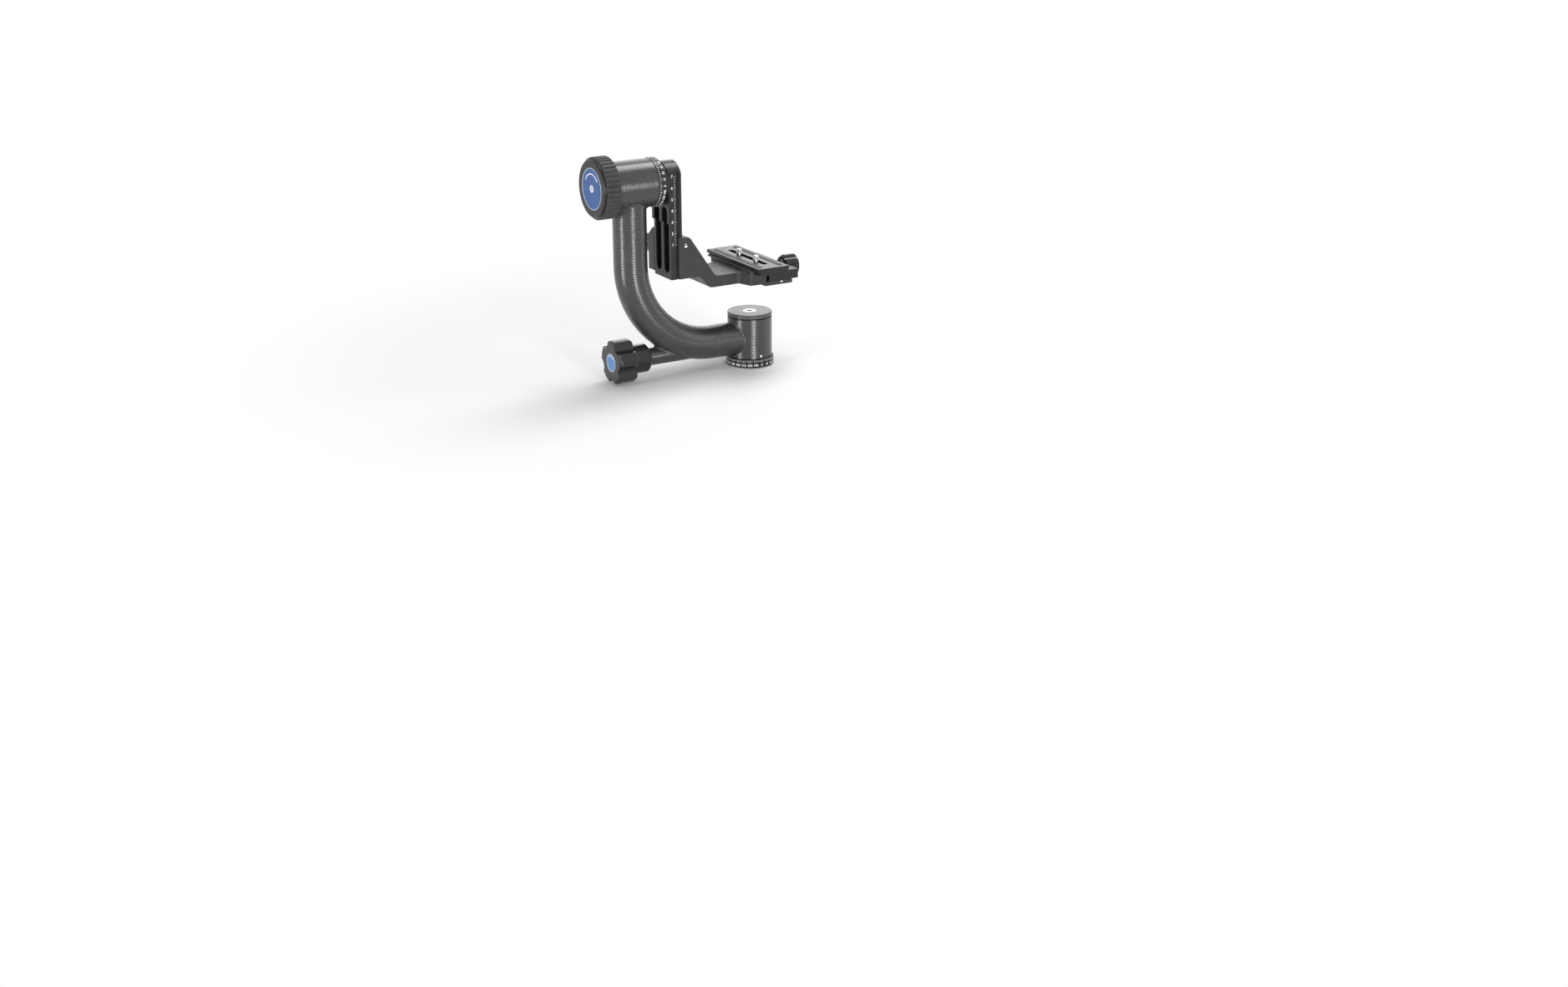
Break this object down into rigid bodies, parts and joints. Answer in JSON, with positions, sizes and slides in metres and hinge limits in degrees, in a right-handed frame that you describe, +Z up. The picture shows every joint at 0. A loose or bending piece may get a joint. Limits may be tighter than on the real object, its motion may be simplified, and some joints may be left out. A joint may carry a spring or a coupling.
{
  "type": "gimbal tripod head",
  "caption": "Gimbal head for a tripod: carbon J arm on a panning base, tilting rail, height-adjustable cradle with a lens clamp and sliding plate, and lock knobs.",
  "frame": {"origin": "centre of the foot's face on the pan axis", "axes": "+Z up along the pan axis, X along the tilt axis with the arm at -X, the lens looks along -Y"},
  "size_m": [0.2443, 0.111, 0.245],
  "materials": {
    "carbon": "woven carbon under clear lacquer",
    "black_metal": "satin black anodised",
    "grey_metal": "satin dark grey anodised",
    "knob_plastic": "gloss black",
    "rubber": "matt",
    "blue_disc": "satin blue anodised",
    "steel": "bright",
    "liner": "machined",
    "brass": "machined",
    "friction": "acetal"
  },
  "bodies": {
    "base": {"base_spindle": "black_metal", "pan_degree_ring": "black_metal", "ring_screws": "steel", "tripod_thread_bush": "steel", "pan_inner_races": "steel", "pan_brake_drum": "steel", "pan_wave_washer": "steel", "pan_cap": "black_metal", "pan_cap_screw": "steel"},
    "arm": {"carbon_arm": "carbon", "pan_sleeve": "liner", "pan_outer_races": "steel", "pan_circlip": "steel", "tilt_sleeve": "liner", "tilt_outer_races": "steel", "pan_knob_bush": "black_metal", "push_rod_guide": "liner"},
    "pan_brake": {"pan_brake_pad": "friction", "pan_push_rod": "steel"},
    "pan_knob": {"pan_knob_grip": "knob_plastic", "pan_knob_disc": "blue_disc", "pan_knob_stud": "steel"},
    "swing": {"tilt_shaft": "black_metal", "tilt_inner_races": "steel", "tilt_spacer": "steel", "tilt_circlip": "steel", "tilt_degree_ring": "black_metal", "tilt_ring_screws": "steel", "swing_rail": "black_metal", "rail_bolts": "steel", "rail_stop_screws": "steel"},
    "tilt_brake": {"tilt_pressure_ring": "steel", "tilt_friction_washer": "friction"},
    "tilt_knob": {"tilt_knob_body": "black_metal", "tilt_knob_grip": "rubber", "tilt_knob_disc": "blue_disc", "tilt_knob_nut": "brass"},
    "cradle": {"cradle_bracket": "grey_metal", "height_guide_pins": "steel", "clamp_guide_pins": "steel"},
    "height_jaw": {"height_jaw": "black_metal"},
    "height_knob": {"height_knob_grip": "knob_plastic", "height_screw": "steel"},
    "clamp_jaw": {"clamp_jaw": "black_metal"},
    "clamp_knob": {"clamp_knob_grip": "knob_plastic", "clamp_screw": "steel"},
    "lens_plate": {"lens_plate": "black_metal", "plate_pads": "rubber", "lens_screws": "steel"}
  },
  "joints": [
    {"name": "pan", "type": "hinge", "parent": "base", "child": "arm", "pos_m": [0, 0, 0.03], "axis": [0, 0, 1], "continuous": true},
    {"name": "pan_brake_push", "type": "slide", "parent": "arm", "child": "pan_brake", "axis": [1, 0, 0], "range_m": [0, 0.0006]},
    {"name": "pan_lock", "type": "hinge", "parent": "pan_brake", "child": "pan_knob", "pos_m": [-0.15, 0, 0.025], "axis": [1, 0, 0], "range_deg": [0, 172.8]},
    {"name": "tilt", "type": "hinge", "parent": "arm", "child": "swing", "pos_m": [-0.144, 0, 0.2126], "axis": [1, 0, 0], "continuous": true},
    {"name": "tilt_brake_push", "type": "slide", "parent": "swing", "child": "tilt_brake", "axis": [1, 0, 0], "range_m": [0, 0.0006]},
    {"name": "tilt_lock", "type": "hinge", "parent": "tilt_brake", "child": "tilt_knob", "pos_m": [-0.177, 0, 0.2126], "axis": [1, 0, 0], "range_deg": [0, 144]},
    {"name": "cradle_height", "type": "slide", "parent": "swing", "child": "cradle", "axis": [0, 0, 1], "range_m": [0, 0.065]},
    {"name": "height_jaw_open", "type": "slide", "parent": "cradle", "child": "height_jaw", "axis": [0, 1, 0], "range_m": [0, 0.002]},
    {"name": "height_lock", "type": "hinge", "parent": "height_jaw", "child": "height_knob", "pos_m": [-0.084, 0.0324, 0.135], "axis": [0, 1, 0], "range_deg": [0, 576]},
    {"name": "clamp_jaw_open", "type": "slide", "parent": "cradle", "child": "clamp_jaw", "axis": [1, 0, 0], "range_m": [0, 0.003]},
    {"name": "clamp_lock", "type": "hinge", "parent": "clamp_jaw", "child": "clamp_knob", "pos_m": [0.038, 0, 0.1034], "axis": [1, 0, 0], "range_deg": [0, 1080]},
    {"name": "plate_slide", "type": "slide", "parent": "cradle", "child": "lens_plate", "axis": [0, 1, 0], "range_m": [-0.025, 0.025]}
  ],
  "couplings": [
    {"joint": "pan_brake_push", "follows": "pan_lock", "m_per_rad": 0.00019874},
    {"joint": "tilt_brake_push", "follows": "tilt_lock", "m_per_rad": 0.00023849},
    {"joint": "height_jaw_open", "follows": "height_lock", "m_per_rad": 0.00019874},
    {"joint": "clamp_jaw_open", "follows": "clamp_lock", "m_per_rad": 0.000159}
  ]
}
